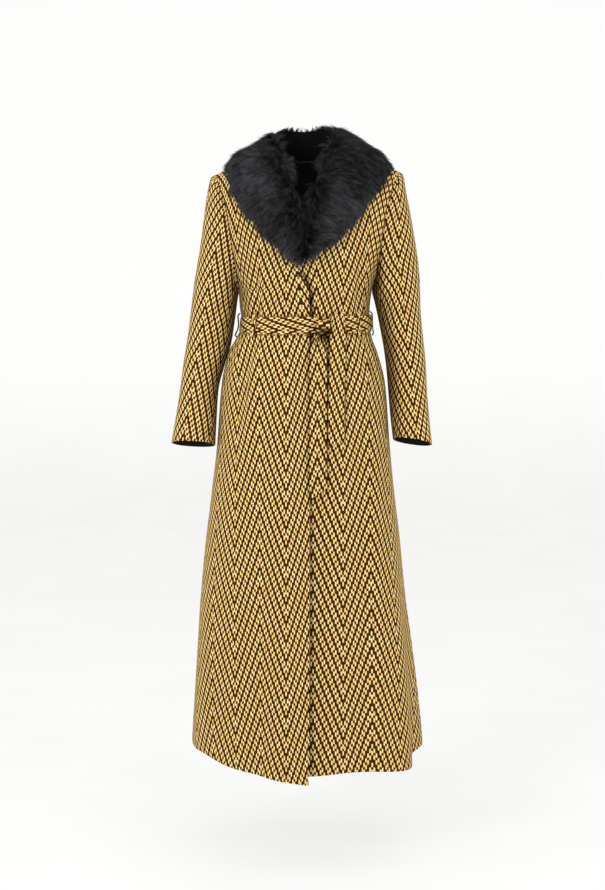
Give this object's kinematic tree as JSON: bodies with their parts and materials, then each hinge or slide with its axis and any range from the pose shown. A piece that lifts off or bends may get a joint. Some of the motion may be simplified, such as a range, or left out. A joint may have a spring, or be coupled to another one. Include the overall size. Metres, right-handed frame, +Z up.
{
  "type": "belted coat",
  "caption": "Long flared coat of black and yellow herringbone wool, with a black fur shawl collar and a tie belt, in its worn shape.",
  "frame": {"origin": "middle of the shoulders, at the level of the shoulder seams' outer ends, where the wearer holds the coat", "axes": "+Z up, the front faces -Y, +X to the wearer's left"},
  "size_m": [0.5865, 0.3974, 1.4454],
  "materials": {
    "wool": "matte",
    "fur": "matte"
  },
  "bodies": {
    "root": {"front_right": "wool", "front_left": "wool", "back": "wool", "sleeve_right": "wool", "sleeve_left": "wool", "collar": "fur", "belt": "wool", "knot": "wool", "tail_long": "wool", "tail_short": "wool", "loop_front_right": "wool", "loop_front_left": "wool", "loop_side_right": "wool", "loop_side_left": "wool"}
  },
  "joints": []
}
